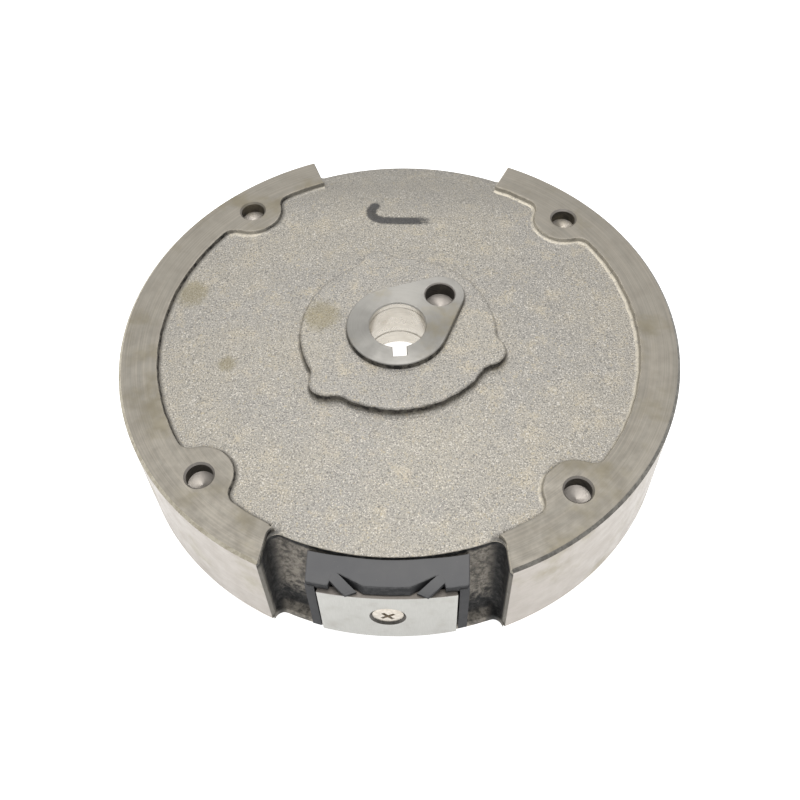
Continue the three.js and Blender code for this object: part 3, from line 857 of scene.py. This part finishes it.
def bent_bar(name, low, high, half_angle, ease, material, steps=60):
    """A bar of rounded section, (radius, height) from low to high, bent about the axis either side
    of the pocket's middle, where its top leans in a little."""
    inner = min(ease, 0.3) / rim_radius
    angles = [-half_angle, inner * 0.3 - half_angle, inner - half_angle]
    angles += list(np.linspace(-half_angle, half_angle, steps + 1)[1:-1])
    angles += [half_angle - inner, half_angle - inner * 0.3, half_angle]
    shrinks = [inner * rim_radius, inner * rim_radius * 0.3, 0.0]
    shrinks += [0.0] * (steps - 1) + shrinks[::-1]
    loops = []
    for angle, shrink in zip(angles, shrinks):
        section = rounded_section((low[0] + shrink, low[1] + shrink),
                                  (high[0] - shrink, high[1] - shrink), ease)
        turn = front_angle + angle
        dip = plate_dip * (1 - (angle / half_angle) ** 2)
        loop = []
        for r, z in section:
            held = r - dip * (z - low[1]) / (high[1] - low[1])
            loop.append((held * math.cos(turn), held * math.sin(turn), z))
        loops.append(loop)
    return skin(name, loops, [material])


def pole_plate():
    """The curved steel plate, with its countersunk hole."""
    inner = rim_radius - plate_thickness
    plate = bent_bar("pole_plate_steel", (inner, plate_bottom), (rim_radius, plate_top),
                     plate_half_angle, 0.15, plate_steel)
    face = rim_radius - plate_dip / 2
    # The countersink takes the darker steel of painted shade.
    sink = turned("cut_sink", [(screw_hole_radius, 66.0), (screw_hole_radius, face - 1.7),
                               (4.5, face - 0.05), (4.9, face + 3)], shaded_hole_steel)
    outward(sink)
    combine(plate, sink, "DIFFERENCE")
    shade(plate)
    show(plate, "plate_steel", "pole_plate")


def pole_screw():
    """The countersunk screw: a slightly crowned head with a cross recess, and its shank."""
    face = rim_radius - plate_dip / 2 - 0.2
    head = 3.8
    profile = [(2.2, face - 15.4), (2.5, face - 15.0), (2.5, face - 1.7), (head, face - 0.45),
               (head, face - 0.3), (head - 0.25, face - 0.12), (head * 0.7, face - 0.04),
               (head * 0.3, face)]
    screw = turned("pole_screw_steel", profile, screw_steel)
    for turn in (0.0, math.pi / 2):
        slot = skin("cut_cross", [at_height([(-l, -w), (l, -w), (l, w), (-l, w)], z)
                                  for l, w, z in ((0.7, 0.25, face - 1.5), (2.0, 0.45, face - 0.2),
                                                  (2.1, 0.5, face + 1.0))], [screw_steel])
        slot.data.transform(Matrix.Rotation(turn + math.radians(38), 4, "Z"))
        combine(screw, slot, "DIFFERENCE")
    outward(screw)
    shade(screw)
    show(screw, "screw_steel", "pole_screw")


def ring_outline(corners, inset=0.0, steps=10):
    """A flat outline through (x, radius) corners on the -Y side, its long runs following arcs."""
    loop = np.asarray(corners, float)
    along = np.roll(loop, -1, axis=0) - loop
    normal = np.column_stack([along[:, 1], -along[:, 0]])
    normal /= np.linalg.norm(normal, axis=1)[:, None]
    middle = normal + np.roll(normal, 1, axis=0)
    middle /= np.maximum((middle ** 2).sum(axis=1)[:, None] / 2, 0.5)
    loop = loop + middle * inset
    points = []
    for (x0, r0), (x1, r1) in zip(loop, np.roll(loop, -1, axis=0)):
        for share in np.arange(steps) / steps:
            x, r = x0 + (x1 - x0) * share, r0 + (r1 - r0) * share
            points.append((x, -math.sqrt(r * r - x * x)))
    return np.array(points)


def lid():
    """The top of the frame. Its thick middle reaches forward between two springy fingers, and its
    front face leans out and down over the plate."""
    right = [(5.4, 72.6, 1), (11.0, 70.6, 0.3), (12.6, 70.6, 0), (13.6, 73.9, 0),
             (holder_half_width - 0.5, 74.2, 0), (holder_half_width - 0.1, 73.8, 0)]
    front = [(-x, r, lean) for x, r, lean in reversed(right)] + right
    loops = []
    for height, inset in ((lid_bottom, 0.0), (holder_top - 0.45, 0.0), (holder_top - 0.15, 0.06),
                          (holder_top, 0.25)):
        back = wall_radius(height) + 0.1
        corners = [(x, r + lean * 0.55 * (holder_top - height)) for x, r, lean in front]
        corners += [(holder_half_width, back + 0.8), (9.0, back + 0.1), (-9.0, back + 0.1),
                    (-holder_half_width, back + 0.8)]
        loops.append(at_height(ring_outline(corners, inset), height))
    return skin("magnet_holder_frame", loops, [plastic])


def holder_block(name, half_from, half_to, back, front, low, high):
    """An upright block between two sideways distances. Its back may follow the pocket's wall."""
    loops = []
    for height, inset in ((low, 0.3), (low + 0.3, 0.0), (high - 0.3, 0.0), (high, 0.0)):
        rear = wall_radius(height) + 0.35 if back is None else back
        corners = [(half_from, rear), (half_from, front), (half_to, front), (half_to, rear)]
        loops.append(at_height(ring_outline(corners, inset), height))
    return skin(name, loops, [plastic])


def clip_finger(side):
    """A springy finger that leaves the lid and bears on the plate's top edge."""
    path = [(14.8, 69.2, -0.9, 0.7), (13.2, 70.9, -0.75, 0.75), (11.6, 72.1, -0.8, 0.72),
            (10.1, 73.2, -1.2, 0.65), (8.8, 74.0, -1.75, 0.5), (8.3, 74.3, -2.0, 0.36)]
    broad = Vector((0.9, -0.35)).normalized()
    loops = []
    for x, radius, drop, thick in path:
        section = rounded_section((-1.5, -thick), (1.5, thick), min(0.3, thick * 0.6))
        y = -math.sqrt(radius * radius - x * x)
        loops.append([(side * (x + broad.x * across), y + broad.y * across, holder_top + drop + up)
                      for across, up in section])
    return skin("holder_finger", loops, [plastic])


def magnet_holder():
    """The moulded frame: a lid, two side walls that flank the plate, and a back and a floor."""
    inner = rim_radius * math.sin(plate_half_angle + math.radians(0.3))
    lap = lid_bottom + 0.6
    holder = lid()
    parts = [
        holder_block("left_leg", -holder_half_width, -inner, None, 74.5, holder_bottom, lap),
        holder_block("right_leg", inner, holder_half_width, None, 74.5, holder_bottom, lap),
        holder_block("back", -inner - 0.4, inner + 0.4, None, 69.9, holder_bottom, lap),
        holder_block("floor", -inner - 0.4, inner + 0.4, None, 72.6, holder_bottom, 8.1),
        clip_finger(1),
        clip_finger(-1),
    ]
    for part in parts:
        combine(holder, part, "UNION")
    holder.data.transform(Matrix.Rotation(front_turn, 4, "Z"))
    hole = turned("cut_clearance", [(screw_hole_radius, 60.0), (screw_hole_radius, 80.0)], plastic, 32)
    outward(hole)
    combine(holder, hole, "DIFFERENCE")
    shade(holder)
    show(holder, "holder_plastic", "magnet_holder")


def dress_magnet():
    """The magnet keeps its CAD shape."""
    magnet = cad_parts["magnet"]
    magnet.data.materials.clear()
    magnet.data.materials.append(ferrite)


# Stage, light and camera ------------------------------------------------------------------------
def floor():
    half = 2500
    corners = [(-half, -half), (half, -half), (half, half), (-half, half)]
    plane = mesh_object("floor", at_height(corners, -0.02), [(0, 1, 2, 3)], [])
    paper = bpy.data.materials.new("floor_paper")
    paper.use_nodes = True
    shader = paper.node_tree.nodes["Principled BSDF"]
    shader.inputs["Base Color"].default_value = (0.85, 0.85, 0.85, 1)
    shader.inputs["Roughness"].default_value = 0.9
    shader.inputs["Emission Color"].default_value = (1, 1, 1, 1)
    shader.inputs["Emission Strength"].default_value = 0.95
    plane.data.materials.append(paper)


def softbox(name, place, target, size, power):
    """A square lamp, its place and target in millimetres."""
    lamp = bpy.data.lights.new(name, "AREA")
    lamp.size = size * MM
    lamp.energy = power
    made = bpy.data.objects.new(name, lamp)
    made.location = Vector(place) * MM
    aim = (Vector(target) - Vector(place)).to_track_quat("-Z", "Y")
    made.rotation_mode = "QUATERNION"
    made.rotation_quaternion = aim
    bpy.context.scene.collection.objects.link(made)


def surroundings():
    """A soft grey studio that looks pale behind the object."""
    world = bpy.data.worlds.new("studio")
    world.use_nodes = True
    tree = world.node_tree
    light = tree.nodes["Background"]
    light.inputs["Color"].default_value = (0.97, 0.985, 1.0, 1)
    light.inputs["Strength"].default_value = 0.38
    painted_highlight = tree.nodes.new("ShaderNodeBackground")
    painted_highlight.inputs["Color"].default_value = (0.93, 0.93, 0.93, 1)
    seen = tree.nodes.new("ShaderNodeLightPath")
    choose = tree.nodes.new("ShaderNodeMixShader")
    tree.links.new(seen.outputs["Is Camera Ray"], choose.inputs[0])
    tree.links.new(light.outputs[0], choose.inputs[1])
    tree.links.new(painted_highlight.outputs[0], choose.inputs[2])
    tree.links.new(choose.outputs[0], tree.nodes["World Output"].inputs["Surface"])
    bpy.context.scene.world = world


def camera():
    """A camera above the wheel and in front of its magnet, slightly rolled."""
    azimuth, elevation, roll = (math.radians(turn) for turn in (4.995, 54.43, -2.169))
    distance = 253.1
    target = Vector((1.761, -21.52, rim_height))
    back = Vector((math.sin(azimuth) * math.cos(elevation),
                   -math.cos(azimuth) * math.cos(elevation), math.sin(elevation)))
    right = Vector((math.cos(azimuth), math.sin(azimuth), 0))
    up = back.cross(right)
    across = right * math.cos(roll) + up * math.sin(roll)
    upward = up * math.cos(roll) - right * math.sin(roll)
    data = bpy.data.cameras.new("camera")
    data.lens = 44.3
    data.sensor_width = 36
    data.clip_start = 0.01
    made = bpy.data.objects.new("camera", data)
    turn = Matrix((across, upward, back)).transposed().to_4x4()
    made.matrix_world = Matrix.Translation((target + back * distance) * MM) @ turn
    bpy.context.scene.collection.objects.link(made)
    bpy.context.scene.camera = made


casting()
pole_plate()
pole_screw()
magnet_holder()
dress_magnet()
floor()
surroundings()
softbox("key", (-60, 330, 900), (0, 0, 30), 500, 3.4)
softbox("top", (100, -200, 900), (0, 0, 30), 500, 1.8)
camera()
bpy.context.scene.view_settings.view_transform = "Standard"
